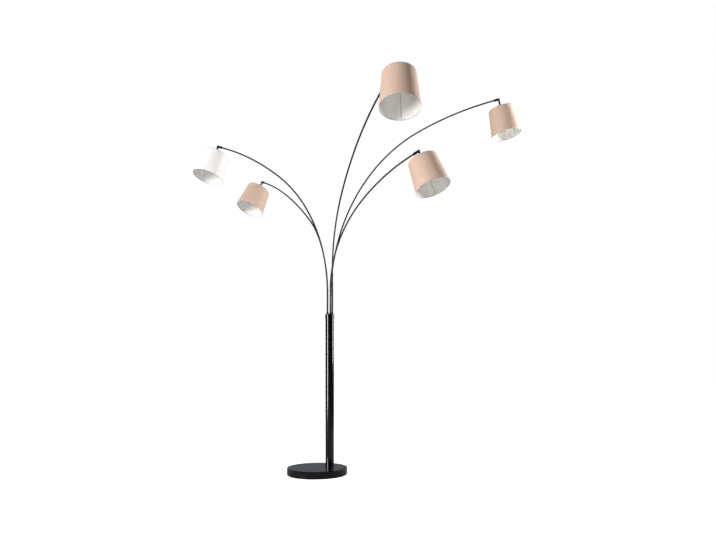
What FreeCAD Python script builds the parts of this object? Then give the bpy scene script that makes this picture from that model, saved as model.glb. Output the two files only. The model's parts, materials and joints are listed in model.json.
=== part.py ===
import FreeCAD, Part
import math
import os
import re

import Sketcher

# Tree floor lamp: a round stone base, an off-centre pole and five bent arms, each ending in a
# swivelling, tilting head with a tapered drum shade.  Millimetres and degrees.
# The origin is the centre of the base's underside; +Z is up and -Y is the side of the front shade.

# Driving sizes of the base, the pole and the pieces that the five arms share.
SIZES = {
    # base
    "base_diameter": 300.0,
    "base_thickness": 34.0,
    "base_edge_chamfer": 1.5,
    "pad_diameter": 292.0,
    "pad_thickness": 2.2,
    "recess_diameter": 46.0,
    "recess_depth": 14.0,
    "washer_diameter": 40.0,
    "washer_thickness": 3.0,
    "nut_across_flats": 19.0,
    "nut_thickness": 9.0,
    "stud_diameter": 12.0,
    "stud_tail": 1.0,
    "stud_hole_clearance": 0.5,
    # pole
    "pole_to_rim": 36.0,
    "pole_bearing": 61.5,
    "pole_diameter": 44.0,
    "pole_wall": 1.5,
    "pole_height": 775.0,
    "foot_thickness": 14.0,
    "plug_clearance": 0.1,
    "cap_diameter": 47.5,
    "cap_height": 13.0,
    "cap_edge_round": 1.2,
    "cap_groove_depth": 2.2,
    "cap_groove_height": 3.0,
    "cap_band_height": 6.0,
    "cap_plug_length": 18.0,
    # cord entry in the back of the pole
    "entry_height": 28.0,
    "entry_bore": 5.2,
    "entry_neck_diameter": 9.0,
    "entry_rim_diameter": 13.0,
    "entry_rim_thickness": 2.0,
    # sockets of the arms
    "socket_circle": 28.0,
    "bush_wall": 1.0,
    "bush_rim_diameter": 13.2,
    "bush_rim_thickness": 2.0,
    # arm tube
    "arm_diameter": 8.0,
    "arm_wall": 1.0,
    "arm_tail": 10.0,
    "arm_straight_end": 45.0,
    "collar_diameter": 11.4,
    "upper_collar_height": 7.0,
    "lower_collar_height": 5.0,
    # swivel sleeve on the arm's end
    "sleeve_diameter": 13.0,
    "sleeve_length": 32.0,
    "sleeve_socket_floor": 13.5,
    "sleeve_chamfer": 0.8,
    "slot_width": 5.0,
    "slot_floor": 10.5,
    "cheek_spacing": 9.8,
    "wire_way": 4.0,
    # pivot rivet
    "pivot_diameter": 4.0,
    "pivot_head_diameter": 7.2,
    "pivot_head_height": 1.3,
    # stem
    "stem_diameter": 10.0,
    "stem_bore": 6.0,
    "stem_shoulder": 11.5,
    "stem_tail": 8.0,
    # lampholder and its ring
    "holder_diameter": 28.0,
    "holder_rise": 20.0,
    "holder_taper": 6.0,
    "holder_crown_diameter": 19.0,
    "skirt_diameter": 26.4,
    "skirt_length": 17.0,
    "holder_floor_thickness": 4.0,
    "ring_diameter": 38.0,
    "ring_flange": 2.0,
    "ring_hub_diameter": 31.0,
    "ring_height": 7.0,
    # shade and its carrier
    "shade_top_diameter": 142.0,
    "shade_bottom_diameter": 171.0,
    "shade_height": 150.0,
    "shade_wall": 2.0,
    "carrier_wire": 3.2,
    "carrier_inset": 2.0,
    "carrier_plate": 1.6,
    "carrier_plate_diameter": 42.0,
    # bulb
    "bulb_cap_diameter": 13.8,
    "bulb_thread_depth": 0.6,
    "bulb_thread_pitch": 2.8,
    "bulb_flange_diameter": 20.0,
    "bulb_flange_thickness": 1.2,
    "bulb_diameter": 45.0,
    "bulb_length": 50.0,
    "bulb_wall": 1.2,
    "bulb_shoulder_diameter": 36.0,
    # clearances
    "running_fit": 0.05,
    "face_gap": 0.2,
    "seat_gap": 0.3,
}

# Sizes of each arm: its socket's bearing on the cap, the bearing that it points to, its straight
# rise above the cap, its two bends, the turn of its swivel sleeve out of the arm's own plane, the
# angle between the arm's end and the shade's axis, and the drop from the pivot to the shade's top.
ARM_SIZES = ("socket", "bearing", "rise", "lower_radius", "lower_bend", "upper_radius",
             "upper_bend", "roll", "tilt", "drop")
ARMS = {
    "right": (72.0, 19.6, 91.0, 1119.0, 56.8, 2584.0, 11.4, 4.1, 80.1, 60.0),
    "front": (0.0, -63.9, 231.0, 588.0, 38.6, 967.0, 39.4, 4.3, 88.9, 50.0),
    "low": (-72.0, -29.3, 124.0, 594.0, 45.8, 842.0, 22.9, -0.3, 90.6, 50.0),
    "left": (216.0, 151.2, 115.0, 825.0, 51.9, 1594.0, 16.7, -16.4, 76.9, 50.0),
    "back": (144.0, 123.0, 97.0, 570.0, 50.6, 2482.0, 17.5, -26.9, 67.9, 60.0),
}
SOCKET_COUNT = 5
SPOKE_COUNT = 3
GRIP_COUNT = 12
THREAD_COUNT = 6
HEX_SIDES = 6

TAU = 360.0

doc = FreeCAD.newDocument("tree_floor_lamp")
sheet = doc.addObject("Spreadsheet::Sheet", "Sizes")
subparts = []


# ---------------------------------------------------------------- sheet and expressions

def fill_sheet():
    """Write every driving size into the sheet under its own alias."""
    rows = dict(SIZES)
    for arm, numbers in ARMS.items():
        for name, number in zip(ARM_SIZES, numbers):
            rows[f"{arm}_{name}"] = number
    for row, (alias, number) in enumerate(rows.items(), start=1):
        sheet.set(f"A{row}", alias.replace("_", " "))
        sheet.set(f"B{row}", str(number))
        sheet.setAlias(f"B{row}", alias)
    doc.recompute()
    return set(rows)


ALIASES = fill_sheet()


def formula(text):
    """Turn sizes named in a formula into references to the sheet."""
    return re.sub(r"[a-z_]+", lambda word: f"Sizes.{word[0]}" if word[0] in ALIASES else word[0], str(text))


def value(text):
    """Return the number that a formula in the sheet's sizes comes to."""
    return float(sheet.evalExpression(formula(text)))


def bind(item, **formulas):
    """Bind an object's properties to formulas in the sheet's sizes."""
    for name, text in formulas.items():
        item.setExpression(name, formula(text))
    return item


# ---------------------------------------------------------------- sketches and features

def new_body(label):
    body = doc.addObject("PartDesign::Body", label)
    body.Label = label
    body.AllowCompound = True
    return body


def new_sketch(body, role):
    """Attach a sketch to one of the body's own origin planes."""
    plane = next(item for item in body.Origin.OriginFeatures if item.Role == role)
    sketch = body.newObject("Sketcher::SketchObject", f"{body.Label}_sketch")
    sketch.AttachmentSupport = [(plane, "")]
    sketch.MapMode = "FlatFace"
    return sketch


def pin_coordinate(sketch, edge, end, kind, text):
    """Fix one coordinate of an edge's end or centre at the value of a formula."""
    index = sketch.addConstraint(Sketcher.Constraint(kind, edge, end, value(text)))
    sketch.setExpression(f"Constraints[{index}]", formula(text))


def pin_point(sketch, edge, end, point):
    """Fix one end of an edge at the point that two formulas give."""
    for kind, text in zip(("DistanceX", "DistanceY"), point):
        pin_coordinate(sketch, edge, end, kind, text)


def arc_through(start, end, centre, turn):
    """Return the counterclockwise arc between two points; turn is -1 where it runs from end to start."""
    first = math.atan2(start.y - centre.y, start.x - centre.x)
    last = math.atan2(end.y - centre.y, end.x - centre.x)
    half = turn * ((turn * (last - first)) % (2 * math.pi)) / 2
    radius = start.distanceToPoint(centre)
    middle = centre + FreeCAD.Vector(math.cos(first + half), math.sin(first + half), 0) * radius
    return Part.Arc(start, middle, end) if turn > 0 else Part.Arc(end, middle, start)


def outline(sketch, points, arcs=None, closed=True):
    """Draw straight edges and arcs through points given as pairs of formulas.

    arcs maps an edge's number to its (centre x formula, centre y formula, turn), where turn is +1
    for an arc that runs counterclockwise and -1 for one that runs clockwise.
    """
    arcs = arcs or {}
    places = [FreeCAD.Vector(value(x), value(y), 0) for x, y in points]
    count = len(points) if closed else len(points) - 1
    ends = []
    for number in range(count):
        start = places[number]
        end = places[(number + 1) % len(places)]
        flipped = False
        if number in arcs:
            x, y, turn = arcs[number]
            edge = sketch.addGeometry(arc_through(start, end, FreeCAD.Vector(value(x), value(y), 0), turn))
            flipped = turn < 0
        else:
            edge = sketch.addGeometry(Part.LineSegment(start, end))
        ends.append((edge, 2 if flipped else 1, 1 if flipped else 2))
    for number, (edge, start_end, far_end) in enumerate(ends):
        pin_point(sketch, edge, start_end, points[number])
        if closed or number + 1 < count:
            following, following_start, _ = ends[(number + 1) % count]
            sketch.addConstraint(Sketcher.Constraint("Coincident", edge, far_end, following, following_start))
        else:
            pin_point(sketch, edge, far_end, points[-1])
    for number, (x, y, _) in arcs.items():
        chord = places[(number + 1) % len(places)] - places[number]
        steep = abs(chord.y) >= abs(chord.x)
        pin_coordinate(sketch, ends[number][0], 3, "DistanceX" if steep else "DistanceY", x if steep else y)
    return sketch


def circle(sketch, x, y, radius):
    """Draw a circle from formulas for its centre and its radius."""
    centre = FreeCAD.Vector(value(x), value(y), 0)
    edge = sketch.addGeometry(Part.Circle(centre, FreeCAD.Vector(0, 0, 1), value(radius)))
    pin_point(sketch, edge, 3, (x, y))
    index = sketch.addConstraint(Sketcher.Constraint("Radius", edge, value(radius)))
    sketch.setExpression(f"Constraints[{index}]", formula(radius))
    return sketch


def feature(body, kind, profile, **settings):
    """Add a feature to the body and make it the tip."""
    item = body.newObject(f"PartDesign::{kind}", f"{body.Label}_{kind.lower()}")
    item.Profile = profile
    for name, setting in settings.items():
        setattr(item, name, setting)
    body.Tip = item
    return item


def revolve(body, profile, kind="Revolution", axis="V_Axis"):
    return feature(body, kind, profile, ReferenceAxis=(profile, [axis]), Angle=TAU)


def pattern(body, original, count):
    """Repeat a feature evenly about the body's own Z axis."""
    spin = next(item for item in body.Origin.OriginFeatures if item.Role == "Z_Axis")
    item = body.newObject("PartDesign::PolarPattern", f"{body.Label}_pattern")
    item.Originals = [original]
    item.Axis = (spin, [""])
    item.Angle = TAU
    item.Occurrences = count
    body.Tip = item
    return item


def through_cut(body, profile):
    """Cut a profile right through the body, both ways from its plane."""
    return feature(body, "Pocket", profile, Type="ThroughAll", SideType="Symmetric")


def turned(label, points, arcs=None):
    """Make a body that is one closed outline turned about the upright axis."""
    body = new_body(label)
    revolve(body, outline(new_sketch(body, "XZ_Plane"), points, arcs))
    return body


def finish(item, placement=FreeCAD.Placement()):
    """Place a sub-part and list it for the checks and the files."""
    item.Placement = placement
    subparts.append(item)
    return item


# ---------------------------------------------------------------- frames

def axes_placement(origin, x_axis, z_axis):
    """Return the placement whose local X and Z run along the given directions."""
    y_axis = z_axis.cross(x_axis)
    matrix = FreeCAD.Matrix(
        x_axis.x, y_axis.x, z_axis.x, origin.x,
        x_axis.y, y_axis.y, z_axis.y, origin.y,
        x_axis.z, y_axis.z, z_axis.z, origin.z,
        0, 0, 0, 1)
    return FreeCAD.Placement(matrix)


def bearing(degrees):
    """Return the level unit vector at an angle from +X."""
    angle = math.radians(degrees)
    return FreeCAD.Vector(math.cos(angle), math.sin(angle), 0)


UP = FreeCAD.Vector(0, 0, 1)
BASE_TOP = "(pad_thickness + base_thickness)"
POLE_TOP = f"({BASE_TOP} + pole_height)"
TUBE_TOP = f"({POLE_TOP} - cap_height - cap_groove_height - cap_band_height)"
CAP_BOTTOM = f"({TUBE_TOP} - cap_plug_length)"
POLE_OFFSET = "(base_diameter / 2 - pole_to_rim)"
POLE_FOOT = bearing(value("pole_bearing")) * value(POLE_OFFSET)
POLE_PLACE = FreeCAD.Placement(POLE_FOOT, FreeCAD.Rotation())

# An arm's upright starts below the cap, where its tail sticks out of the bush.
ARM_BOTTOM = f"({CAP_BOTTOM} - face_gap - arm_tail)"
ARM_UPRIGHT = f"({POLE_TOP} - {ARM_BOTTOM})"


def arm_points(arm):
    """Return the formulas of an arm's centre line, in the arm's own upright plane."""
    low, high = f"{arm}_lower_bend", f"({arm}_lower_bend + {arm}_upper_bend)"
    rise = f"({ARM_UPRIGHT} + {arm}_rise)"
    knee = (f"({arm}_lower_radius * (1 - cos({low})))",
            f"({rise} + {arm}_lower_radius * sin({low}))")
    brow = (f"({knee[0]} + {arm}_upper_radius * (cos({low}) - cos({high})))",
            f"({knee[1]} + {arm}_upper_radius * (sin({high}) - sin({low})))")
    lower_centre = (f"{arm}_lower_radius", rise)
    upper_centre = (f"({knee[0]} + {arm}_upper_radius * cos({low}))",
                    f"({knee[1]} - {arm}_upper_radius * sin({low}))")
    pivot = (f"({brow[0]} + arm_straight_end * sin({high}))",
             f"({brow[1]} + arm_straight_end * cos({high}))")
    tube_end = (f"({brow[0]} + (arm_straight_end - sleeve_socket_floor - face_gap * 5) * sin({high}))",
                f"({brow[1]} + (arm_straight_end - sleeve_socket_floor - face_gap * 5) * cos({high}))")
    return {"rise": ("0", rise), "knee": knee, "brow": brow, "pivot": pivot, "tube_end": tube_end,
            "lower_centre": lower_centre, "upper_centre": upper_centre}


def arm_frames(arm):
    """Return the placements of an arm's upright, its swivel sleeve and its head.

    The sleeve's X runs out along the arm's end and its Z away from the shade.  The head's -Z runs
    down the shade's axis.  Both have the pivot's axis along Y.
    """
    outward = bearing(value(f"{arm}_bearing"))
    socket = POLE_FOOT + bearing(value(f"{arm}_socket")) * value("socket_circle / 2")
    upright = axes_placement(socket + UP * value(ARM_BOTTOM), outward, UP)
    points = arm_points(arm)
    reach, height = value(points["pivot"][0]), value(points["pivot"][1])
    pivot = upright.multVec(FreeCAD.Vector(reach, 0, height))
    slope = math.radians(value(f"{arm}_lower_bend + {arm}_upper_bend"))
    along = outward * math.sin(slope) + UP * math.cos(slope)
    below = outward * math.cos(slope) - UP * math.sin(slope)
    roll = math.radians(value(f"{arm}_roll"))
    hang = below * math.cos(roll) + outward.cross(UP) * math.sin(roll)
    tilt = math.radians(value(f"{arm}_tilt"))
    shade_axis = along * -math.cos(tilt) + hang * math.sin(tilt)
    pivot_axis = hang.cross(along)
    sleeve = axes_placement(pivot, along, hang * -1)
    head = axes_placement(pivot, pivot_axis.cross(shade_axis), shade_axis * -1)
    return upright, sleeve, head


# ---------------------------------------------------------------- base

def make_base_disc():
    """Polished stone disc with a hole and an underside recess for the pole's fixing."""
    body = new_body("base_disc")
    edge, radius = "base_edge_chamfer", "base_diameter / 2"
    revolve(body, outline(new_sketch(body, "XZ_Plane"), [
        ("0", "pad_thickness"),
        (f"{radius} - {edge}", "pad_thickness"),
        (radius, f"pad_thickness + {edge}"),
        (radius, f"{BASE_TOP} - {edge}"),
        (f"{radius} - {edge}", BASE_TOP),
        ("0", BASE_TOP)]))
    x, y = f"{POLE_OFFSET} * cos(pole_bearing)", f"{POLE_OFFSET} * sin(pole_bearing)"
    hole = new_sketch(body, "XY_Plane")
    through_cut(body, circle(hole, x, y, "stud_diameter / 2 + stud_hole_clearance"))
    recess = feature(body, "Pocket", circle(new_sketch(body, "XY_Plane"), x, y, "recess_diameter / 2"),
                     Reversed=True)
    bind(recess, Length="pad_thickness + recess_depth")
    finish(body)


def make_base_pad():
    """Soft sheet under the base; it closes the recess."""
    pad = bind(doc.addObject("Part::Cylinder", "base_pad"),
               Radius="pad_diameter / 2", Height="pad_thickness - running_fit")
    finish(pad)


def make_pole_fixing():
    """Washer, nut and stud that pull the pole's foot plug down onto the stone."""
    ceiling = "(pad_thickness + recess_depth)"
    stud = "stud_diameter / 2"
    washer = turned("base_washer", [
        (f"{stud} + running_fit", f"{ceiling} - washer_thickness"),
        ("washer_diameter / 2", f"{ceiling} - washer_thickness"),
        ("washer_diameter / 2", ceiling),
        (f"{stud} + running_fit", ceiling)])
    finish(washer, POLE_PLACE)
    nut = new_body("base_nut")
    corner = "(nut_across_flats / 2 / cos(180 / hex_sides))".replace("hex_sides", str(HEX_SIDES))
    corners = []
    for side in range(HEX_SIDES):
        turn = TAU * side / HEX_SIDES
        corners.append((f"{corner} * cos({turn})", f"{corner} * sin({turn})"))
    profile = circle(outline(new_sketch(nut, "XY_Plane"), corners), "0", "0", f"{stud} + running_fit")
    bind(feature(nut, "Pad", profile), Length="nut_thickness")
    finish(nut, FreeCAD.Placement(POLE_FOOT + UP * value(f"{ceiling} - washer_thickness - nut_thickness"),
                                  FreeCAD.Rotation()))
    low = f"({ceiling} - washer_thickness - nut_thickness - stud_tail)"
    rod = bind(doc.addObject("Part::Cylinder", "base_stud"),
               Radius=stud, Height=f"{BASE_TOP} + foot_thickness + stud_tail - {low}")
    finish(rod, FreeCAD.Placement(POLE_FOOT + UP * value(low), FreeCAD.Rotation()))


# ---------------------------------------------------------------- pole

def make_pole():
    """Steel tube, its threaded foot plug and the rubber cord entry in its back."""
    outer, inner = "pole_diameter / 2", "(pole_diameter / 2 - pole_wall)"
    tube = turned("pole_tube", [(inner, BASE_TOP), (outer, BASE_TOP), (outer, TUBE_TOP), (inner, TUBE_TOP)])
    entry_level = f"{BASE_TOP} + entry_height"
    hole = circle(new_sketch(tube, "XZ_Plane"), "0", entry_level, "entry_neck_diameter / 2 + running_fit")
    cut = feature(tube, "Pocket", hole)
    bind(cut, Length=f"{outer} + pole_wall")
    finish(tube, POLE_PLACE)
    plug_edge = f"({inner} - plug_clearance)"
    foot = turned("pole_foot", [
        ("stud_diameter / 2 + running_fit", BASE_TOP),
        (plug_edge, BASE_TOP),
        (plug_edge, f"{BASE_TOP} + foot_thickness"),
        ("stud_diameter / 2 + running_fit", f"{BASE_TOP} + foot_thickness")])
    finish(foot, POLE_PLACE)
    neck_start = f"({inner} - entry_rim_thickness / 2)"
    rim_start = f"({outer} + running_fit)"
    entry = turned("cord_entry", [
        ("entry_bore / 2", neck_start),
        ("entry_neck_diameter / 2", neck_start),
        ("entry_neck_diameter / 2", rim_start),
        ("entry_rim_diameter / 2", rim_start),
        ("entry_rim_diameter / 2", f"{rim_start} + entry_rim_thickness"),
        ("entry_bore / 2", f"{rim_start} + entry_rim_thickness")])
    back = FreeCAD.Vector(0, 1, 0)
    finish(entry, axes_placement(POLE_FOOT + UP * value(entry_level), FreeCAD.Vector(1, 0, 0), back))


def make_pole_head():
    """Turned cap with a grooved rim, a plug inside the tube and the five arm sockets."""
    body = new_body("pole_head")
    rim, edge = "cap_diameter / 2", "cap_edge_round"
    groove_top = f"({POLE_TOP} - cap_height)"
    groove_bottom = f"({groove_top} - cap_groove_height)"
    plug_edge = "(pole_diameter / 2 - pole_wall - plug_clearance)"
    revolve(body, outline(new_sketch(body, "XZ_Plane"), [
        ("0", CAP_BOTTOM),
        (plug_edge, CAP_BOTTOM),
        (plug_edge, TUBE_TOP),
        (rim, TUBE_TOP),
        (rim, groove_bottom),
        (f"{rim} - cap_groove_depth", groove_bottom),
        (f"{rim} - cap_groove_depth", groove_top),
        (rim, groove_top),
        (rim, f"{POLE_TOP} - {edge}"),
        (f"{rim} - {edge}", POLE_TOP),
        ("0", POLE_TOP)], {8: (f"{rim} - {edge}", f"{POLE_TOP} - {edge}", 1)}))
    socket = circle(new_sketch(body, "XY_Plane"), "socket_circle / 2", "0",
                    "arm_diameter / 2 + bush_wall + 2 * running_fit")
    cut = feature(body, "Pocket", socket, Reversed=True)
    bind(cut, Length=f"{POLE_TOP} + cap_height")
    doc.recompute()
    pattern(body, cut, SOCKET_COUNT)
    finish(body, POLE_PLACE)


def make_socket_bushes():
    """Five flanged bushes, one in each socket of the cap."""
    body = new_body("socket_bushes")
    centre = "socket_circle / 2"
    bore, outer = f"({centre} + arm_diameter / 2 + running_fit)", \
        f"({centre} + arm_diameter / 2 + bush_wall + running_fit)"
    lip = f"({centre} + bush_rim_diameter / 2)"
    lip_low = f"({POLE_TOP} + running_fit)"
    profile = outline(new_sketch(body, "XZ_Plane"), [
        (bore, CAP_BOTTOM),
        (outer, CAP_BOTTOM),
        (outer, lip_low),
        (lip, lip_low),
        (lip, f"{lip_low} + bush_rim_thickness"),
        (bore, f"{lip_low} + bush_rim_thickness")])
    axis = profile.addGeometry(Part.LineSegment(
        FreeCAD.Vector(value(centre), 0, 0), FreeCAD.Vector(value(centre), value(CAP_BOTTOM), 0)), True)
    pin_point(profile, axis, 1, (centre, "0"))
    pin_point(profile, axis, 2, (centre, CAP_BOTTOM))
    bush = revolve(body, profile, axis="Axis0")
    doc.recompute()
    pattern(body, bush, SOCKET_COUNT)
    finish(body, POLE_PLACE)


# ---------------------------------------------------------------- arm

def make_arm_tube(arm, placement):
    """Bent tube with a collar above and below its bush."""
    body = new_body(f"arm_tube_{arm}")
    points = arm_points(arm)
    path = outline(new_sketch(body, "XZ_Plane"),
                   [("0", "0"), points["rise"], points["knee"], points["brow"], points["tube_end"]],
                   {1: (*points["lower_centre"], -1), 2: (*points["upper_centre"], -1)}, closed=False)
    section = circle(new_sketch(body, "XY_Plane"), "0", "0", "arm_diameter / 2")
    circle(section, "0", "0", "arm_diameter / 2 - arm_wall")
    pipe = feature(body, "AdditivePipe", section)
    pipe.Spine = (path, [])
    doc.recompute()
    inside = "(arm_diameter / 2 - arm_wall / 2)"
    lower_top = f"({ARM_UPRIGHT} - ({POLE_TOP} - {CAP_BOTTOM}) - face_gap)"
    upper_low = f"({ARM_UPRIGHT} + running_fit + bush_rim_thickness + face_gap)"
    for low, high in ((f"{lower_top} - lower_collar_height", lower_top),
                      (upper_low, f"{upper_low} + upper_collar_height")):
        ring = outline(new_sketch(body, "XZ_Plane"), [
            (inside, low), ("collar_diameter / 2", low), ("collar_diameter / 2", high), (inside, high)])
        revolve(body, ring)
    finish(body, placement)


def make_sleeve(arm, placement):
    """Ball-ended sleeve that turns on the arm's end and forks around the stem's tongue."""
    body = new_body(f"swivel_sleeve_{arm}")
    radius, back = "(sleeve_diameter / 2)", "(-sleeve_length)"
    bore = "arm_diameter / 2 + running_fit"
    revolve(body, outline(new_sketch(body, "XZ_Plane"), [
        ("sleeve_chamfer - slot_floor", "0"),
        ("sleeve_chamfer - slot_floor", "wire_way / 2"),
        ("-sleeve_socket_floor", "wire_way / 2"),
        ("-sleeve_socket_floor", bore),
        (back, bore),
        (back, f"{radius} - sleeve_chamfer"),
        (f"{back} + sleeve_chamfer", radius),
        ("0", radius),
        (radius, "0")], {7: ("0", "0", -1)}), axis="H_Axis")
    slot = outline(new_sketch(body, "XZ_Plane"), [
        ("-slot_floor", "-sleeve_diameter"),
        ("sleeve_diameter", "-sleeve_diameter"),
        ("sleeve_diameter", "sleeve_diameter"),
        ("-slot_floor", "sleeve_diameter")])
    bind(feature(body, "Pocket", slot, SideType="Symmetric"), Length="slot_width")
    cheek, hole = "(cheek_spacing / 2)", "(pivot_diameter / 2 + running_fit)"
    head = "(pivot_head_diameter / 2 + seat_gap)"
    seats = outline(new_sketch(body, "XY_Plane"), [
        ("0", "-sleeve_diameter"),
        (head, "-sleeve_diameter"),
        (head, f"-{cheek}"),
        (hole, f"-{cheek}"),
        (hole, cheek),
        (head, cheek),
        (head, "sleeve_diameter"),
        ("0", "sleeve_diameter")])
    revolve(body, seats, kind="Groove")
    finish(body, placement)


def make_pivot(arm, placement):
    """Rivet with two flat heads through the fork and the tongue."""
    pin, head = "pivot_diameter / 2", "pivot_head_diameter / 2"
    near = "(cheek_spacing / 2 + running_fit)"
    far = f"({near} + pivot_head_height)"
    body = new_body(f"pivot_{arm}")
    revolve(body, outline(new_sketch(body, "XY_Plane"), [
        ("0", f"-{far}"), (head, f"-{far}"), (head, f"-{near}"), (pin, f"-{near}"),
        (pin, near), (head, near), (head, far), ("0", far)]))
    finish(body, placement)


# ---------------------------------------------------------------- head

def holder_levels(arm):
    """Return the heights of a head's shade and lampholder, from the pivot down the shade's axis."""
    drop = f"{arm}_drop"
    return {
        "crown": f"(-({drop} - holder_rise))",
        "shade_top": f"(-{drop})",
        "plate_top": f"(-({drop} + carrier_inset + carrier_wire / 2 - carrier_plate / 2))",
        "plate_low": f"(-({drop} + carrier_inset + carrier_wire / 2 + carrier_plate / 2))",
        "wire": f"(-({drop} + carrier_inset + carrier_wire / 2))",
        "mouth": f"(-({drop} + skirt_length))",
    }


def make_stem(arm, placement):
    """Hollow stem with a flat tongue that turns on the pivot."""
    body = new_body(f"stem_{arm}")
    levels = holder_levels(arm)
    radius, end = "(stem_diameter / 2)", f"({levels['crown']} - stem_tail)"
    revolve(body, outline(new_sketch(body, "XZ_Plane"), [
        ("0", "-stem_shoulder"),
        ("0", "-(stem_shoulder + wire_way)"),
        ("stem_bore / 2", "-(stem_shoulder + wire_way)"),
        ("stem_bore / 2", end),
        (radius, end),
        (radius, "-stem_shoulder")]))
    tongue = outline(new_sketch(body, "XZ_Plane"), [
        (radius, "0"), (f"-{radius}", "0"),
        (f"-{radius}", "-(stem_shoulder + wire_way / 2)"),
        (radius, "-(stem_shoulder + wire_way / 2)")], {0: ("0", "0", 1)})
    bind(feature(body, "Pad", tongue, SideType="Symmetric"), Length="slot_width - 2 * face_gap")
    through_cut(body, circle(new_sketch(body, "XZ_Plane"), "0", "0", "pivot_diameter / 2 + running_fit"))
    finish(body, placement)


def make_lampholder(arm, placement):
    """Moulded lampholder: a shouldered cap above the carrier and a threaded skirt below it."""
    levels = holder_levels(arm)
    crown, mouth, plate = levels["crown"], levels["mouth"], levels["plate_top"]
    stem, cap = "(stem_diameter / 2 + running_fit)", "holder_diameter / 2"
    stem_end = f"({crown} - stem_tail - running_fit)"
    floor = f"({stem_end} - holder_floor_thickness)"
    bore = "(bulb_cap_diameter / 2 + seat_gap)"
    body = turned(f"lampholder_{arm}", [
        (stem, crown),
        ("holder_crown_diameter / 2", crown),
        (cap, f"{crown} - holder_taper"),
        (cap, plate),
        ("skirt_diameter / 2", plate),
        ("skirt_diameter / 2", mouth),
        (bore, mouth),
        (bore, floor),
        ("wire_way / 2", floor),
        ("wire_way / 2", stem_end),
        (stem, stem_end)])
    finish(body, placement)


def make_shade_ring(arm, placement):
    """Threaded ring with a gripped hub; it clamps the carrier against the lampholder."""
    top = holder_levels(arm)["plate_low"]
    bore = "(skirt_diameter / 2 + running_fit)"
    body = turned(f"shade_ring_{arm}", [
        (bore, top),
        ("ring_diameter / 2", top),
        ("ring_diameter / 2", f"{top} - ring_flange"),
        ("ring_hub_diameter / 2", f"{top} - ring_flange"),
        ("ring_hub_diameter / 2", f"{top} - ring_height"),
        (bore, f"{top} - ring_height")])
    notch = circle(new_sketch(body, "XY_Plane"), "ring_diameter / 2", "0", "ring_flange / 2")
    cut = through_cut(body, notch)
    doc.recompute()
    pattern(body, cut, GRIP_COUNT)
    finish(body, placement)


def make_shade_carrier(arm, placement):
    """Wire ring inside the shade's top, joined by spokes to a plate under the lampholder's cap."""
    levels = holder_levels(arm)
    label = f"shade_carrier_{arm}"
    wall_at_wire = ("(shade_top_diameter + (shade_bottom_diameter - shade_top_diameter)"
                    " * (carrier_inset + carrier_wire / 2) / shade_height) / 2 - shade_wall")
    ring_radius = f"({wall_at_wire} - seat_gap - carrier_wire / 2)"
    body = new_body(label)
    wire = circle(new_sketch(body, "XZ_Plane"), ring_radius, levels["wire"], "carrier_wire / 2")
    revolve(body, wire)
    plate = outline(new_sketch(body, "XZ_Plane"), [
        ("skirt_diameter / 2 + running_fit", levels["plate_low"]),
        ("carrier_plate_diameter / 2", levels["plate_low"]),
        ("carrier_plate_diameter / 2", levels["plate_top"]),
        ("skirt_diameter / 2 + running_fit", levels["plate_top"])])
    revolve(body, plate)
    spoke_face = circle(new_sketch(body, "YZ_Plane"), "0", levels["wire"], "carrier_plate / 2")
    spoke = feature(body, "Pad", spoke_face)
    bind(spoke, Length=ring_radius)
    doc.recompute()
    pattern(body, spoke, SPOKE_COUNT)
    well = outline(new_sketch(body, "XZ_Plane"), [
        ("0", f"{levels['plate_low']} - carrier_wire"),
        ("skirt_diameter / 2 + running_fit", f"{levels['plate_low']} - carrier_wire"),
        ("skirt_diameter / 2 + running_fit", f"{levels['plate_top']} + carrier_wire"),
        ("0", f"{levels['plate_top']} + carrier_wire")])
    revolve(body, well, kind="Groove")
    finish(body, placement)


def make_shade(arm, placement):
    """Tapered drum: fabric bonded to a stiff lining, open at both ends."""
    top = holder_levels(arm)["shade_top"]
    bottom = f"({top} - shade_height)"
    body = turned(f"shade_{arm}", [
        ("shade_top_diameter / 2 - shade_wall", top),
        ("shade_bottom_diameter / 2 - shade_wall", bottom),
        ("shade_bottom_diameter / 2", bottom),
        ("shade_top_diameter / 2", top)])
    finish(body, placement)


def globe_solid(label, mouth, neck_top, skin):
    """Return a globe and its tapering neck as one solid, drawn in by the given skin."""
    radius = f"(bulb_diameter / 2 - {skin})"
    shoulder = f"(bulb_shoulder_diameter / 2 - {skin})"
    centre = f"({mouth} - bulb_length + bulb_diameter / 2)"
    shoulder_level = f"({centre} + sqrt({radius}^2 - {shoulder}^2))"
    ball = bind(doc.addObject("Part::Sphere", f"{label}_ball"), Radius=radius)
    ball.setExpression("Placement.Base.z", formula(centre))
    neck = bind(doc.addObject("Part::Cone", f"{label}_neck"), Radius1=shoulder,
                Radius2=f"bulb_flange_diameter / 2 - {skin}", Height=f"{neck_top} - {shoulder_level}")
    neck.setExpression("Placement.Base.z", formula(shoulder_level))
    solid = doc.addObject("Part::MultiFuse", label)
    solid.Shapes = [ball, neck]
    return solid


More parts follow.
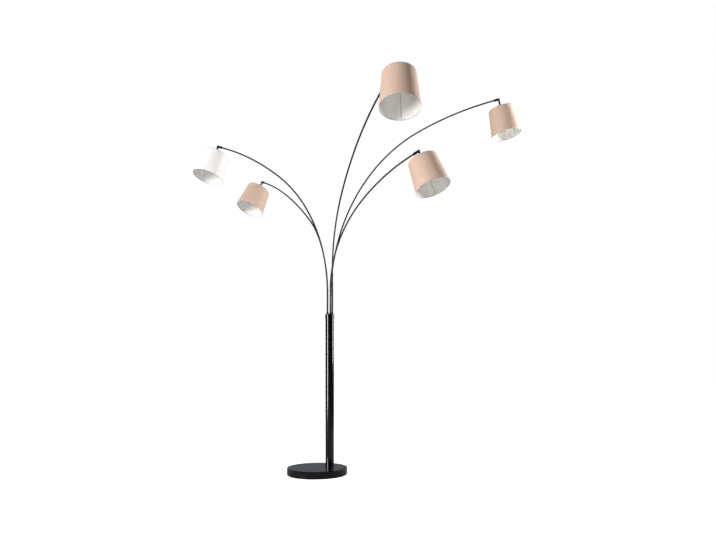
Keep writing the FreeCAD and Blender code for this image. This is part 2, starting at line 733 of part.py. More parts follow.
def make_bulb(arm, placement):
    """Screw cap and hollow round globe of a small lamp."""
    mouth = holder_levels(arm)["mouth"]
    flange_top = f"({mouth} - seat_gap)"
    flange_low = f"({flange_top} - bulb_flange_thickness)"
    crest, root = "bulb_cap_diameter / 2", "(bulb_cap_diameter / 2 - bulb_thread_depth)"
    thread = [("0", flange_low), ("bulb_flange_diameter / 2", flange_low),
              ("bulb_flange_diameter / 2", flange_top), (root, flange_top)]
    for turn in range(THREAD_COUNT):
        thread.append((crest, f"{flange_top} + bulb_thread_pitch * {turn + 0.5}"))
        thread.append((root, f"{flange_top} + bulb_thread_pitch * {turn + 1}"))
    tip = f"{flange_top} + bulb_thread_pitch * {THREAD_COUNT + 1}"
    thread += [("wire_way / 2", tip), ("0", tip)]
    finish(turned(f"bulb_cap_{arm}", thread), placement)

    neck_top = f"({flange_low} - running_fit)"
    outer = globe_solid(f"globe_outside_{arm}", mouth, neck_top, "0")
    inner = globe_solid(f"globe_inside_{arm}", mouth, neck_top, "bulb_wall")
    globe = doc.addObject("Part::Cut", f"bulb_globe_{arm}")
    globe.Base = outer
    globe.Tool = inner
    doc.recompute()
    finish(globe, placement)


# ---------------------------------------------------------------- the lamp

def make_lamp():
    make_base_disc()
    make_base_pad()
    make_pole_fixing()
    make_pole()
    make_pole_head()
    make_socket_bushes()
    for arm in ARMS:
        upright, sleeve, head = arm_frames(arm)
        make_arm_tube(arm, upright)
        make_sleeve(arm, sleeve)
        make_pivot(arm, sleeve)
        for make in (make_stem, make_lampholder, make_shade_ring, make_shade_carrier, make_shade, make_bulb):
            make(arm, head)


def check_and_export():
    """Stop at any failed object; otherwise write one file for each sub-part."""
    doc.recompute()
    for item in doc.Objects:
        if "Invalid" in item.State or "Error" in item.State:
            raise RuntimeError(f"{item.Label} did not build: {item.State}")
    os.makedirs("parts", exist_ok=True)
    for item in subparts:
        if item.Shape.isNull() or not item.Shape.isValid() or item.Shape.Volume <= 0:
            raise RuntimeError(f"{item.Label} has no valid shape")
        item.Shape.exportStep(f"parts/{item.Label}.step")
        print(f"{item.Label:24} {len(item.Shape.Solids)} solid(s) {item.Shape.Volume / 1000:10.2f} cm3")


make_lamp()
check_and_export()
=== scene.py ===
"""Tree floor lamp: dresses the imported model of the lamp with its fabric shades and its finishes.

Metres throughout.  The origin is the centre of the base's underside, +Z is up and the camera looks
along +Y, with the front arm nearest to it.
"""

import json
import logging
import math
from dataclasses import dataclass
from enum import Enum

import bpy
import numpy as np
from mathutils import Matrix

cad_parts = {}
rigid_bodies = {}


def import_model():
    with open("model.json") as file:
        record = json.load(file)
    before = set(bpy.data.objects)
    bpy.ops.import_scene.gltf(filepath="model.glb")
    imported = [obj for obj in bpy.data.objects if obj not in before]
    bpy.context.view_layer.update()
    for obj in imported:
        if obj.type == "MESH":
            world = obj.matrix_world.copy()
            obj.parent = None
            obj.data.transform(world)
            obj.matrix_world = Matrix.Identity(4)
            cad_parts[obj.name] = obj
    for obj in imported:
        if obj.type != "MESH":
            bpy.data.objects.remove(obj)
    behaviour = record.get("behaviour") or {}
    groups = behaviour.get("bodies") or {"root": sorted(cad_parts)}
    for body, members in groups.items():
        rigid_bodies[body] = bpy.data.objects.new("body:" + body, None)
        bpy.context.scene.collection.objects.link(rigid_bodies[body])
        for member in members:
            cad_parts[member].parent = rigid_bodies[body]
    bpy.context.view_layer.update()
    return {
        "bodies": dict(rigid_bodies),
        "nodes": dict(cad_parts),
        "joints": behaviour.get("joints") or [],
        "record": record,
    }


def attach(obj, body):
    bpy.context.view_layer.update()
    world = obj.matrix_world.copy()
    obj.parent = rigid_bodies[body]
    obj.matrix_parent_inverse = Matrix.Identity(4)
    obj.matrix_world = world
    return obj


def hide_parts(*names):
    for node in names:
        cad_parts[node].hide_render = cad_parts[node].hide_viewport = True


LOG = logging.getLogger("tree_floor_lamp")
MM = 0.001

# The photograph's frame and the camera that was fitted to it, in pixels.
PHOTO_WIDTH = 716
PHOTO_HEIGHT = 540
FOCAL_LENGTH_PX = 578.8
HORIZON_ROW_PX = 374.5
AXIS_COLUMN_PX = 376.9
SENSOR_WIDTH_MM = 36.0
CAMERA_PLACE = (0.299, -2.9, 0.5)

# A wave texture at this scale has one band in each unit of its coordinates.
ONE_BAND_PER_UNIT = 0.314


# ---------------------------------------------------------------- colour and nodes

def linear(hex_colour: str) -> tuple[float, float, float, float]:
    """Turn an sRGB colour into the linear one that shaders take.

    Args:
        hex_colour: the colour as #RRGGBB.

    Returns:
        Linear red, green and blue, and an alpha of 1.
    """
    channels = [int(hex_colour[i:i + 2], 16) / 255 for i in (1, 3, 5)]
    return (*(c / 12.92 if c <= 0.04045 else ((c + 0.055) / 1.055) ** 2.4 for c in channels), 1.0)


def add_node(tree: bpy.types.NodeTree, kind: str, settings: dict | None = None,
             inputs: dict | None = None) -> bpy.types.Node:
    """Add a node, set its properties, and set or link its inputs.

    Args:
        tree: the node tree that takes the node.
        kind: the node's type, without the ShaderNode at its front.
        settings: the node's own properties by name.
        inputs: an input's name or number to a value, or to the output socket that feeds it.

    Returns:
        The new node.
    """
    node = tree.nodes.new(f"ShaderNode{kind}")
    for name, setting in (settings or {}).items():
        setattr(node, name, setting)
    for name, given in (inputs or {}).items():
        if isinstance(given, bpy.types.NodeSocket):
            tree.links.new(given, node.inputs[name])
        else:
            node.inputs[name].default_value = given
    return node


def new_material(name: str) -> tuple[bpy.types.Material, bpy.types.NodeTree]:
    """Return a new material and its emptied node tree."""
    material = bpy.data.materials.new(name)
    material.use_nodes = True
    material.node_tree.nodes.clear()
    return material, material.node_tree


def blended(tree: bpy.types.NodeTree, factor: bpy.types.NodeSocket, low: str, high: str,
            span: tuple[float, float]) -> bpy.types.NodeSocket:
    """Run from one colour to another as a factor rises through a span."""
    spread = add_node(tree, "MapRange", inputs={"Value": factor, "From Min": span[0], "From Max": span[1]})
    mix = add_node(tree, "Mix", {"data_type": "RGBA"}, {
        0: spread.outputs["Result"], 6: linear(low), 7: linear(high)})
    return mix.outputs[2]


# ---------------------------------------------------------------- finishes

@dataclass(frozen=True)
class WovenShadeFabric:
    """Plain-woven polycotton bonded to a film: matt, soft, with faint slubs in both directions."""

    name: str
    colour: str
    slub_colour: str
    thread_pitch: float = 1.3 * MM   # 0.4 mm in the real cloth, drawn coarser so that it shows
    slub_length: float = 38 * MM
    slub_width: float = 1.6 * MM
    slub_span: tuple[float, float] = (0.55, 1.2)
    slub_relief: float = 0.8         # the slubs' height as a share of the threads'
    relief_strength: float = 0.25
    relief_depth: float = 0.25 * MM
    roughness: float = 0.7
    gloss: float = 0.4
    sheen: float = 0.25
    sheen_roughness: float = 0.45

    def build(self) -> bpy.types.Material:
        """Make the material.

        Returns:
            A cloth whose UV map runs in metres round and down the shade.
        """
        material, tree = new_material(self.name)
        uv = add_node(tree, "UVMap", {"uv_map": "cloth"}).outputs["UV"]
        slubs = []
        for size in ((self.slub_length, self.slub_width), (self.slub_width, self.slub_length)):
            mapping = add_node(tree, "Mapping", inputs={
                "Vector": uv, "Scale": (1 / size[0], 1 / size[1], 1)})
            slubs.append(add_node(tree, "TexNoise", {"noise_dimensions": "2D"}, {
                "Vector": mapping.outputs["Vector"], "Scale": 1.0, "Detail": 3.0, "Roughness": 0.6}))
        cross = add_node(tree, "Math", {"operation": "ADD"}, {
            0: slubs[0].outputs["Fac"], 1: slubs[1].outputs["Fac"]})
        colour = blended(tree, cross.outputs["Value"], self.slub_colour, self.colour, self.slub_span)
        threads = []
        for direction in ("X", "Y"):
            mapping = add_node(tree, "Mapping", inputs={
                "Vector": uv, "Scale": (1 / self.thread_pitch, 1 / self.thread_pitch, 1)})
            threads.append(add_node(tree, "TexWave", {
                "wave_type": "BANDS", "bands_direction": direction, "wave_profile": "SIN"}, {
                "Vector": mapping.outputs["Vector"], "Scale": ONE_BAND_PER_UNIT, "Distortion": 0.6,
                "Detail": 1.0}))
        weave = add_node(tree, "Math", {"operation": "MAXIMUM"}, {
            0: threads[0].outputs["Fac"], 1: threads[1].outputs["Fac"]})
        relief = add_node(tree, "Math", {"operation": "MULTIPLY_ADD"}, {
            0: cross.outputs["Value"], 1: self.slub_relief, 2: weave.outputs["Value"]})
        bump = add_node(tree, "Bump", inputs={
            "Strength": self.relief_strength, "Distance": self.relief_depth,
            "Height": relief.outputs["Value"]})
        shader = add_node(tree, "BsdfPrincipled", inputs={
            "Base Color": colour, "Roughness": self.roughness, "Specular IOR Level": self.gloss,
            "Sheen Weight": self.sheen, "Sheen Roughness": self.sheen_roughness,
            "Normal": bump.outputs["Normal"]})
        add_node(tree, "OutputMaterial", inputs={"Surface": shader.outputs["BSDF"]})
        return material


@dataclass(frozen=True)
class LaminatedLining:
    """White lampshade film: smooth and slightly waxy. The greyer strip where its ends overlap is painted
    shade for the doubled film seen with light through it, plus its real glue line.
    """

    name: str = "white_laminated_shade_film"
    colour: str = "#EFEDE9"
    cloud_colour: str = "#E6E4E0"
    # Painted shade: the grey laid on the overlap stands in for the doubled film's darker look with light
    # coming through it.
    painted_overlap_shade_colour: str = "#CFC6C2"
    cloud_size: float = 40 * MM
    cloud_span: tuple[float, float] = (0.3, 0.6)
    relief_strength: float = 0.15
    relief_depth: float = 0.3 * MM
    roughness: float = 0.55
    gloss: float = 0.35

    def build(self) -> bpy.types.Material:
        """Make the material.

        Returns:
            A film whose point attribute named overlap is 1 where it lies double.
        """
        material, tree = new_material(self.name)
        place = add_node(tree, "TexCoord").outputs["Object"]
        clouds = add_node(tree, "TexNoise", inputs={
            "Vector": place, "Scale": 1 / self.cloud_size, "Detail": 2.0})
        film = blended(tree, clouds.outputs["Fac"], self.cloud_colour, self.colour, self.cloud_span)
        overlap = add_node(tree, "Attribute", {"attribute_name": "overlap"}).outputs["Fac"]
        # The overlap's grey is painted shade, mixed in wherever the film lies double.
        colour = add_node(tree, "Mix", {"data_type": "RGBA"}, {
            0: overlap, 6: film, 7: linear(self.painted_overlap_shade_colour)})
        bump = add_node(tree, "Bump", inputs={
            "Strength": self.relief_strength, "Distance": self.relief_depth,
            "Height": clouds.outputs["Fac"]})
        shader = add_node(tree, "BsdfPrincipled", inputs={
            "Base Color": colour.outputs[2], "Roughness": self.roughness,
            "Specular IOR Level": self.gloss, "Normal": bump.outputs["Normal"]})
        add_node(tree, "OutputMaterial", inputs={"Surface": shader.outputs["BSDF"]})
        return material


@dataclass(frozen=True)
class Lacquer:
    """Stoved black lacquer on steel: a smooth deep gloss, a little duller in patches from handling."""

    name: str
    roughness: float
    gloss: float = 0.5
    colour: str = "#050405"
    patch_size: float = 45 * MM
    patch_span: tuple[float, float] = (0.35, 0.75)
    least_rough: float = 0.85        # shares of the roughness, in the patches
    most_rough: float = 1.35

    def build(self) -> bpy.types.Material:
        """Make the material.

        Returns:
            The lacquer, on Object coordinates.
        """
        material, tree = new_material(self.name)
        place = add_node(tree, "TexCoord").outputs["Object"]
        wear = add_node(tree, "TexNoise", inputs={
            "Vector": place, "Scale": 1 / self.patch_size, "Detail": 4.0})
        rough = add_node(tree, "MapRange", inputs={
            "Value": wear.outputs["Fac"], "From Min": self.patch_span[0], "From Max": self.patch_span[1],
            "To Min": self.roughness * self.least_rough, "To Max": self.roughness * self.most_rough})
        shader = add_node(tree, "BsdfPrincipled", inputs={
            "Base Color": linear(self.colour), "Roughness": rough.outputs["Result"],
            "Specular IOR Level": self.gloss})
        add_node(tree, "OutputMaterial", inputs={"Surface": shader.outputs["BSDF"]})
        return material


@dataclass(frozen=True)
class PolishedGranite:
    """Polished black granite: nearly black, bluish ground with fine grey mineral flecks."""

    name: str = "polished_black_granite"
    ground: str = "#060708"
    fleck: str = "#181D23"
    fleck_span: tuple[float, float] = (0.38, 0.62)
    grain: float = 2.2 * MM
    cloud_size: float = 50 / 3 * MM
    cloud_span: tuple[float, float] = (0.3, 0.7)
    roughness: tuple[float, float] = (0.12, 0.2)
    gloss: float = 0.28

    def build(self) -> bpy.types.Material:
        """Make the material.

        Returns:
            The stone, on Object coordinates.
        """
        material, tree = new_material(self.name)
        place = add_node(tree, "TexCoord").outputs["Object"]
        grains = add_node(tree, "TexVoronoi", {"feature": "F1"}, {"Vector": place, "Scale": 1 / self.grain})
        clouds = add_node(tree, "TexNoise", inputs={
            "Vector": place, "Scale": 1 / self.cloud_size, "Detail": 5.0, "Roughness": 0.7})
        flecks = add_node(tree, "Math", {"operation": "MULTIPLY"}, {
            0: grains.outputs["Color"], 1: clouds.outputs["Fac"]})
        colour = blended(tree, flecks.outputs["Value"], self.ground, self.fleck, self.fleck_span)
        rough = add_node(tree, "MapRange", inputs={
            "Value": clouds.outputs["Fac"], "From Min": self.cloud_span[0], "From Max": self.cloud_span[1],
            "To Min": self.roughness[0], "To Max": self.roughness[1]})
        shader = add_node(tree, "BsdfPrincipled", inputs={
            "Base Color": colour, "Roughness": rough.outputs["Result"], "Specular IOR Level": self.gloss})
        add_node(tree, "OutputMaterial", inputs={"Surface": shader.outputs["BSDF"]})
        return material


@dataclass(frozen=True)
class PlainFinish:
    """A moulded, plated or rolled surface: one colour, mottled a little, with fine relief."""

    name: str
    colour: str
    shade_colour: str
    roughness: float
    metallic: float = 0.0
    mottle_size: float = 6 * MM
    relief_depth: float = 0.05 * MM
    relief_strength: float = 0.3
    mottle_span: tuple[float, float] = (0.3, 0.65)
    rough_spread: float = 0.2        # how far the roughness strays to each side, as a share

    def build(self) -> bpy.types.Material:
        """Make the material.

        Returns:
            The finish, on Object coordinates.
        """
        material, tree = new_material(self.name)
        place = add_node(tree, "TexCoord").outputs["Object"]
        mottle = add_node(tree, "TexNoise", inputs={
            "Vector": place, "Scale": 1 / self.mottle_size, "Detail": 4.0})
        colour = blended(tree, mottle.outputs["Fac"], self.shade_colour, self.colour, self.mottle_span)
        rough = add_node(tree, "MapRange", inputs={
            "Value": mottle.outputs["Fac"], "To Min": self.roughness * (1 - self.rough_spread),
            "To Max": self.roughness * (1 + self.rough_spread)})
        bump = add_node(tree, "Bump", inputs={
            "Strength": self.relief_strength, "Distance": self.relief_depth,
            "Height": mottle.outputs["Fac"]})
        shader = add_node(tree, "BsdfPrincipled", inputs={
            "Base Color": colour, "Roughness": rough.outputs["Result"], "Metallic": self.metallic,
            "Normal": bump.outputs["Normal"]})
        add_node(tree, "OutputMaterial", inputs={"Surface": shader.outputs["BSDF"]})
        return material


class Finish(Enum):
    """The finishes of the lamp's pieces."""

    BEIGE_CLOTH = WovenShadeFabric("beige_polycotton_shade_cloth", "#C8AD9B", "#BB9E8B")
    WHITE_CLOTH = WovenShadeFabric("white_polycotton_shade_cloth", "#F1F0EE", "#E4E3E0")
    # The rim tape's grey is partly painted shade: it stands in for the shadow along the shades' turned
    # rims.
    RIM_TAPE_PAINTED_SHADE = PlainFinish("rim_tape_grey_with_painted_shade", "#B5B0AD", "#A6A19E", 0.6)
    FILM = LaminatedLining()
    POLE_LACQUER = Lacquer("gloss_black_stoved_lacquer", roughness=0.12, gloss=0.4)
    ARM_LACQUER = Lacquer("black_stoved_lacquer_on_bent_tube", roughness=0.32, gloss=0.3)
    SLEEVE_LACQUER = Lacquer("gloss_black_lacquer_on_turned_steel", roughness=0.14)
    GRANITE = PolishedGranite()
    PHENOLIC = PlainFinish("moulded_black_phenolic", "#171615", "#0F0E0E", 0.38)
    ACETAL = PlainFinish("black_acetal_bush", "#161616", "#101010", 0.45)
    FOAM_PAD = PlainFinish("black_foam_rubber_sheet", "#1A1A19", "#121211", 0.9,
                           mottle_size=1.5 * MM, relief_depth=0.3 * MM)
    RUBBER = PlainFinish("black_moulded_rubber", "#151514", "#0E0E0D", 0.7)
    ZINC = PlainFinish("bright_zinc_plated_steel", "#B9BABB", "#9FA2A6", 0.32, metallic=1.0)
    BLACKED_STEEL = PlainFinish("blacked_steel_rivet", "#2A292A", "#1C1B1C", 0.35, metallic=1.0)
    WHITE_WIRE = PlainFinish("white_epoxy_coated_wire", "#E9E7E2", "#DEDCD6", 0.4)
    ALUMINIUM = PlainFinish("rolled_aluminium_lamp_cap", "#C9C9C7", "#B4B5B5", 0.3, metallic=1.0)
    OPAL = PlainFinish("opal_glass", "#F3F1EC", "#ECEAE4", 0.12, mottle_size=30 * MM,
                       relief_depth=0.01 * MM)


CAD_FINISHES = {
    "base_disc": Finish.GRANITE,
    "base_pad": Finish.FOAM_PAD,
    "base_washer": Finish.ZINC,
    "base_nut": Finish.ZINC,
    "base_stud": Finish.ZINC,
    "pole_foot": Finish.ZINC,
    "pole_tube": Finish.POLE_LACQUER,
    "pole_head": Finish.POLE_LACQUER,
    "cord_entry": Finish.RUBBER,
    "socket_bushes": Finish.ACETAL,
    "arm_tube": Finish.ARM_LACQUER,
    "swivel_sleeve": Finish.SLEEVE_LACQUER,
    "pivot": Finish.BLACKED_STEEL,
    "stem": Finish.ARM_LACQUER,
    "lampholder": Finish.PHENOLIC,
    "shade_ring": Finish.PHENOLIC,
    "shade_carrier": Finish.WHITE_WIRE,
    "bulb_cap": Finish.ALUMINIUM,
    "bulb_globe": Finish.OPAL,
}


# ---------------------------------------------------------------- surfaces

@dataclass(frozen=True)
class Surface:
    """Points and quads of a grid, with its UV map and any value kept at each point."""

    points: np.ndarray
    quads: np.ndarray
    uv: np.ndarray
    values: dict[str, np.ndarray]

    def make(self, name: str, material: bpy.types.Material) -> bpy.types.Object:
        """Put the surface into a mesh.

        Args:
            name: the piece's name.
            material: its one material.

        Returns:
            The piece, at the origin and with its place in its mesh.
        """
        mesh = bpy.data.meshes.new(name)
        mesh.from_pydata(self.points.tolist(), [], self.quads.tolist())
        mesh.materials.append(material)
        mesh.polygons.foreach_set("use_smooth", np.ones(len(self.quads), bool))
        layer = mesh.uv_layers.new(name="cloth")
        layer.data.foreach_set("uv", self.uv.reshape(-1, 2).ravel())
        for key, values in self.values.items():
            attribute = mesh.attributes.new(key, "FLOAT", "POINT")
            attribute.data.foreach_set("value", values.ravel())
        mesh.update()
        piece = bpy.data.objects.new(name, mesh)
        bpy.context.scene.collection.objects.link(piece)
        return piece


def turned_loop(profile: np.ndarray, angles: np.ndarray, lift: np.ndarray, place: np.ndarray,
                values: dict[str, np.ndarray]) -> Surface:
    """Turn a closed outline about an axis.

    A point of the surface is the profile's radius plus its lift along the direction at its angle, and
    the profile's depth along the axis.

    Args:
        profile: the outline's radii and depths below the pivot, one row for each point.
        angles: the angles of the columns, one full turn without its end.
        lift: how far each column's point stands out from the profile, by column and profile point.
        place: the columns X, Y, Z and origin of the frame, whose Z runs down the axis.
        values: a value for each column and profile point, by name.

    Returns:
        The surface, whose UV map runs in metres round its mean radius and along its outline.
    """
    radius = profile[None, :, 0] + lift
    local = np.stack([radius * np.cos(angles)[:, None], radius * np.sin(angles)[:, None],
                      np.broadcast_to(profile[:, 1], radius.shape)], axis=-1)
    points = local @ place[:, :3].T + place[:, 3]
    columns, rows = radius.shape
    i, j = np.meshgrid(np.arange(columns), np.arange(rows), indexing="ij")
    right, down = (i + 1) % columns, (j + 1) % rows
    quads = np.stack([i * rows + j, i * rows + down, right * rows + down, right * rows + j], axis=-1)
    step = np.linalg.norm(np.roll(profile, -1, axis=0) - profile, axis=1)
    along = np.concatenate([[0.0], np.cumsum(step)])
    turn = np.concatenate([angles, [angles[0] + 2 * math.pi]]) * profile[:, 0].mean()
    corners = [(i, j), (i, j + 1), (i + 1, j + 1), (i + 1, j)]
    uv = np.stack([np.stack([turn[a], along[b]], axis=-1) for a, b in corners], axis=-2)
    return Surface(points.reshape(-1, 3), quads.reshape(-1, 4), uv.reshape(-1, 4, 2),
                   {key: value.reshape(-1) for key, value in values.items()})


def thickened(line: np.ndarray, thickness: float) -> np.ndarray:
    """Give a line a thickness: the line shifted half of it to each side, joined into one outline."""
    step = np.gradient(line, axis=0)
    normal = np.stack([step[:, 1], -step[:, 0]], axis=1)
    normal /= np.linalg.norm(normal, axis=1, keepdims=True)
    half = normal * thickness / 2
    return np.concatenate([line + half, (line - half)[::-1]])


# ---------------------------------------------------------------- the shades

@dataclass(frozen=True)
class Shade:
    """A tapered drum shade: cloth on a white film whose ends overlap, taped over both rims."""

    arm: str
    drop: float                      # from the pivot to the shade's top edge
    tilt: float                      # between the arm's end and the shade's axis, in degrees
    seam_bearing: float              # where the seam faces, from +X, in degrees
    cloth: Finish
    top_radius: float = 71.0 * MM
    bottom_radius: float = 85.5 * MM
    height: float = 150.0 * MM
    wall: float = 2.0 * MM
    cloth_thickness: float = 0.7 * MM
    film_thickness: float = 0.5 * MM
    film_inset: float = 1.1 * MM     # from the wall's outside to the film's middle
    rim_height: float = 2.6 * MM
    rim_stand: float = 0.1 * MM      # how far the tape stands out from the wall
    overlap: float = 5.0 * MM
    overlap_step: float = 0.3 * MM
    step_slope: float = 0.05         # half the step's width, as a share of half the overlap
    first_angle: float = 0.01
    columns: int = 144
    rows: int = 40
    rim_points: int = 20

    def frame(self, joints: dict[str, dict]) -> np.ndarray:
        """Find the shade's place from the joints of its head.

        The shade's axis leaves the pivot at the tilt angle from the arm's end, square to the hinge.

        Args:
            joints: the record's joints by name.

        Returns:
            The columns X, Y, Z and origin of a frame at the pivot, whose Z runs down the shade.
        """
        hinge = np.array(joints[f"tilt_{self.arm}"]["axis"], float)
        along = np.array(joints[f"roll_{self.arm}"]["axis"], float)
        pivot = np.array(joints[f"tilt_{self.arm}"]["pos_m"], float)
        angle = math.radians(self.tilt)
        down = -math.cos(angle) * along + math.sin(angle) * np.cross(along, hinge)
        down /= np.linalg.norm(down)
        bearing = math.radians(self.seam_bearing)
        side = np.array([math.cos(bearing), math.sin(bearing), 0.0])
        side -= down * side.dot(down)
        side /= np.linalg.norm(side)
        return np.stack([side, np.cross(down, side), down, pivot], axis=1)

    def angles(self, edge: float) -> np.ndarray:
        """Return the columns' angles, evenly spaced, with close pairs at both edges of the overlap."""
        even = np.linspace(0, 2 * math.pi, self.columns, endpoint=False) + self.first_angle
        outer, inner = 1 + self.step_slope, 1 - self.step_slope
        near = np.array([-outer, -inner, inner, outer]) * edge
        return np.sort(np.concatenate([even, near]) % (2 * math.pi))

    def wall_line(self, inset: float, start: float, end: float) -> np.ndarray:
        """Return points down the wall, set in from its outside, between two depths below the top."""
        depth = np.linspace(start, end, self.rows)
        slope = (self.bottom_radius - self.top_radius) / self.height
        return np.stack([self.top_radius + slope * depth - inset, self.drop + depth], axis=1)

    def rim(self, depth: float) -> np.ndarray:
        """Return the outline of the tape over a rim: an ellipse about the wall at a depth below the top."""
        turn = np.linspace(0, 2 * math.pi, self.rim_points, endpoint=False)
        middle = self.wall_line(self.wall / 2, depth, depth)[0]
        return middle + np.stack([(self.wall / 2 + self.rim_stand) * np.cos(turn),
                                  self.rim_height / 2 * np.sin(turn)], axis=1)

    def build(self, joints: dict[str, dict], materials: dict[Finish, bpy.types.Material]) -> None:
        """Make the cloth cover, the film lining and the tape over both rims, riding on the head.

        Args:
            joints: the record's joints by name.
            materials: the lamp's materials.
        """
        place = self.frame(joints)
        edge = self.overlap / 2 / self.bottom_radius
        angles = self.angles(edge)
        doubled = (np.cos(angles) > math.cos(edge)).astype(float)[:, None]
        flat = np.zeros((len(angles), 1))
        side = np.concatenate([np.ones(self.rows), np.zeros(self.rows)])[None, :]
        top = self.rim_height / 2
        bottom = self.height - top

        cloth = thickened(self.wall_line(self.cloth_thickness / 2, top, bottom), self.cloth_thickness)
        cover = turned_loop(cloth, angles, doubled * side * self.overlap_step, place, {})
        film = thickened(self.wall_line(self.film_inset, top, bottom), self.film_thickness)
        lift = doubled * (side - 1) * self.overlap_step
        lining = turned_loop(film, angles, lift, place, {"overlap": np.broadcast_to(doubled, lift.shape)})
        pieces = [cover.make(f"shade_cloth_{self.arm}", materials[self.cloth]),
                  lining.make(f"shade_lining_{self.arm}", materials[Finish.FILM])]
        # The tape's grey is partly painted shadow along each rim.
        for end, depth in (("top", top), ("bottom", bottom)):
            tape = turned_loop(self.rim(depth), angles, flat, place, {})
            pieces.append(tape.make(f"shade_{end}_rim_{self.arm}", materials[Finish.RIM_TAPE_PAINTED_SHADE]))

        for piece in pieces:
            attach(piece, f"head_{self.arm}")
            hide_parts(f"shade_{self.arm}")
            LOG.info("%s: %d faces", piece.name, len(piece.data.polygons))

    @property
    def cloth_slot(self) -> str:
        """The record's material slot for the cloth."""
        return "white_fabric" if self.cloth is Finish.WHITE_CLOTH else "fabric"


SHADES = (
    Shade("right", drop=60 * MM, tilt=80.1, seam_bearing=10.0, cloth=Finish.BEIGE_CLOTH),
    Shade("front", drop=50 * MM, tilt=88.9, seam_bearing=85.0, cloth=Finish.BEIGE_CLOTH),
    Shade("low", drop=50 * MM, tilt=90.6, seam_bearing=78.0, cloth=Finish.BEIGE_CLOTH),
    Shade("left", drop=50 * MM, tilt=76.9, seam_bearing=170.0, cloth=Finish.WHITE_CLOTH),
    Shade("back", drop=60 * MM, tilt=67.9, seam_bearing=30.0, cloth=Finish.BEIGE_CLOTH),
)


# ---------------------------------------------------------------- the rest of the lamp

@dataclass(frozen=True)
class Lamp:
    """The lamp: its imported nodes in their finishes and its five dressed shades."""

    frame: dict

    def materials(self) -> dict[Finish, bpy.types.Material]:
        """Build one material for each finish."""
        return {finish: finish.value.build() for finish in Finish}

    def dress_nodes(self, materials: dict[Finish, bpy.types.Material]) -> None:
        """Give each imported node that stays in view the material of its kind.

        Args:
            materials: the lamp's materials.
        """
        for name, node in self.frame["nodes"].items():
            kinds = [kind for kind in CAD_FINISHES if name == kind or name.startswith(f"{kind}_")]
            if not kinds:
                continue
            finish = CAD_FINISHES[max(kinds, key=len)]
            node.data.materials.clear()
            node.data.materials.append(materials[finish])
            LOG.info("%s: %s", name, finish.value.name)

    def build(self) -> None:
        """Dress the nodes and make the shades."""
        materials = self.materials()
        self.dress_nodes(materials)
        joints = {joint["name"]: joint for joint in self.frame["joints"]}
        for shade in SHADES:
            shade.build(joints, materials)


# ---------------------------------------------------------------- studio

@dataclass(frozen=True)
class SoftLight:
    """A soft light: where it hangs, what it looks at, how large and how strong it is."""

    name: str
    place: tuple[float, float, float]
    target: tuple[float, float, float]
    size: tuple[float, float]
    power: float
    mirrored: bool = True

    def build(self) -> None:
        """Hang the light.  One that isn't mirrored stays out of what glossy surfaces show."""
        data = bpy.data.lights.new(self.name, "AREA")
        data.shape = "RECTANGLE"
        data.size, data.size_y = self.size
        data.energy = self.power
        light = bpy.data.objects.new(self.name, data)
        light.visible_glossy = self.mirrored
        direction = np.array(self.target) - np.array(self.place)
        light.location = self.place
        light.rotation_euler = angles_towards(direction)
        bpy.context.scene.collection.objects.link(light)


def angles_towards(direction: np.ndarray) -> tuple[float, float, float]:
    """Return the Euler angles that turn -Z to a direction, with the local Y axis kept upright."""
    length = float(np.linalg.norm(direction))
    pitch = math.acos(-direction[2] / length)
    heading = math.atan2(direction[1], direction[0]) - math.pi / 2
    return (pitch, 0.0, heading)


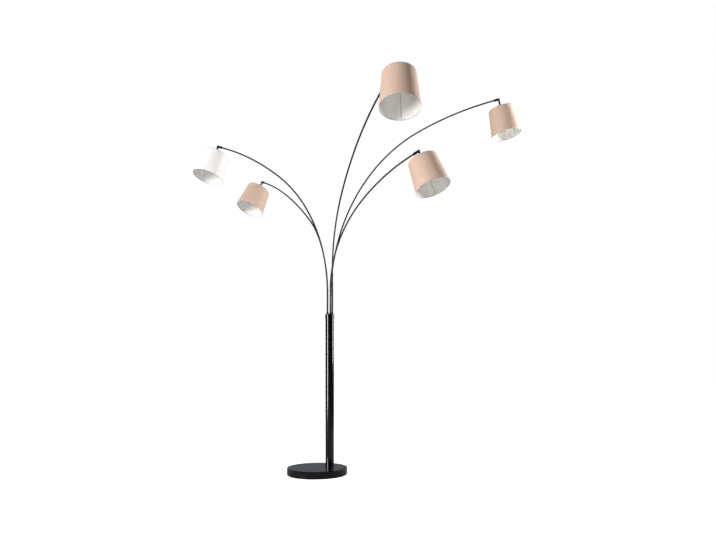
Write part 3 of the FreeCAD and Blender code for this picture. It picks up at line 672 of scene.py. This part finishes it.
@dataclass(frozen=True)
class Studio:
    """Plain white studio: a pale floor, a large soft light at the left front, a narrower one at the
    right and a weak card low in front, which fills the open undersides of the shades.
    """

    floor_size: float = 400.0
    floor_colour: str = "#B4B4B4"
    floor_glow: float = 0.93
    floor_seen_colour: str = "#A2A2A2"
    ambient: float = 0.25
    ambient_colour: str = "#FFF5F0"
    room_mirrored: float = 0.06
    backdrop_mirrored: float = 0.3
    backdrop_colour: str = "#DCE6F4"
    backdrop_edge: tuple[float, float] = (0.6, 0.95)   # the +Y part of a direction, room to backdrop
    lights: tuple[SoftLight, ...] = (
        SoftLight("left_front_softbox", (-4.3, -3.0, 1.2), (0.2, 0.0, 1.4), (1.1, 3.0), 400.0),
        SoftLight("right_back_softbox", (2.5, 0.62, 1.6), (0.4, 0.0, 1.5), (0.5, 2.0), 105.0),
        SoftLight("low_front_card", (0.8, -2.7, 0.2), (0.2, 0.2, 1.7), (1.6, 0.5), 18.0,
                  mirrored=False),
    )

    def build_world(self) -> None:
        """Make the world.

        It is white to the camera and an even soft level to the surfaces.  Glossy surfaces mirror a
        pale backdrop behind the lamp, in +Y, and a darker room in front of it.
        """
        world = bpy.data.worlds.new("studio")
        world.use_nodes = True
        tree = world.node_tree
        tree.nodes.clear()
        rays = add_node(tree, "LightPath")
        way = add_node(tree, "SeparateXYZ", inputs={
            "Vector": add_node(tree, "TexCoord").outputs["Generated"]})
        behind = add_node(tree, "MapRange", {"interpolation_type": "SMOOTHSTEP"}, {
            "Value": way.outputs["Y"], "From Min": self.backdrop_edge[0], "From Max": self.backdrop_edge[1],
            "To Min": self.room_mirrored, "To Max": self.backdrop_mirrored})
        even = add_node(tree, "Background", inputs={
            "Color": linear(self.ambient_colour), "Strength": self.ambient})
        mirrored = add_node(tree, "Background", inputs={
            "Color": linear(self.backdrop_colour), "Strength": behind.outputs["Result"]})
        white = add_node(tree, "Background", inputs={"Color": linear("#FFFFFF"), "Strength": 1.0})
        lit = add_node(tree, "MixShader", inputs={
            0: rays.outputs["Is Glossy Ray"], 1: even.outputs["Background"],
            2: mirrored.outputs["Background"]})
        seen = add_node(tree, "MixShader", inputs={
            0: rays.outputs["Is Camera Ray"], 1: lit.outputs["Shader"], 2: white.outputs["Background"]})
        add_node(tree, "OutputWorld", inputs={"Surface": seen.outputs["Shader"]})
        bpy.context.scene.world = world

    def build_floor(self) -> None:
        """Make the floor, which keeps the lamp's soft shadow on a white ground."""
        material, tree = new_material("white_studio_floor")
        rays = add_node(tree, "LightPath")
        paper = add_node(tree, "BsdfDiffuse", inputs={"Color": linear(self.floor_colour)})
        shadowed = add_node(tree, "BsdfDiffuse", inputs={"Color": linear(self.floor_seen_colour)})
        glow = add_node(tree, "Emission", inputs={"Color": linear("#FFFFFF"), "Strength": self.floor_glow})
        ground = add_node(tree, "AddShader", inputs={
            0: shadowed.outputs["BSDF"], 1: glow.outputs["Emission"]})
        seen = add_node(tree, "MixShader", inputs={
            0: rays.outputs["Is Camera Ray"], 1: paper.outputs["BSDF"], 2: ground.outputs["Shader"]})
        add_node(tree, "OutputMaterial", inputs={"Surface": seen.outputs["Shader"]})
        half = self.floor_size / 2
        mesh = bpy.data.meshes.new("studio_floor")
        corners = [(-half, -half, 0), (half, -half, 0), (half, half, 0), (-half, half, 0)]
        mesh.from_pydata(corners, [], [(0, 1, 2, 3)])
        mesh.materials.append(material)
        floor = bpy.data.objects.new("studio_floor", mesh)
        bpy.context.scene.collection.objects.link(floor)

    def build_camera(self) -> None:
        """Place the camera that was fitted to the photograph: level, along +Y."""
        data = bpy.data.cameras.new("photograph_camera")
        data.sensor_width = SENSOR_WIDTH_MM
        data.lens = FOCAL_LENGTH_PX * SENSOR_WIDTH_MM / PHOTO_WIDTH
        data.shift_x = (PHOTO_WIDTH / 2 - AXIS_COLUMN_PX) / PHOTO_WIDTH
        data.shift_y = (HORIZON_ROW_PX - PHOTO_HEIGHT / 2) / PHOTO_WIDTH
        camera = bpy.data.objects.new("photograph_camera", data)
        camera.location = CAMERA_PLACE
        camera.rotation_euler = (math.pi / 2, 0.0, 0.0)
        bpy.context.scene.collection.objects.link(camera)
        bpy.context.scene.camera = camera

    def build(self) -> None:
        """Make the world, the floor, the lights and the camera."""
        self.build_world()
        self.build_floor()
        for light in self.lights:
            light.build()
        self.build_camera()
        bpy.context.scene.view_settings.view_transform = "Standard"


def main() -> None:
    """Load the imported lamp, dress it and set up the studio."""
    logging.basicConfig(level=logging.INFO, format="%(message)s")
    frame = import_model()
    Lamp(frame).build()
    Studio().build()


if __name__ == "__main__":
    main()
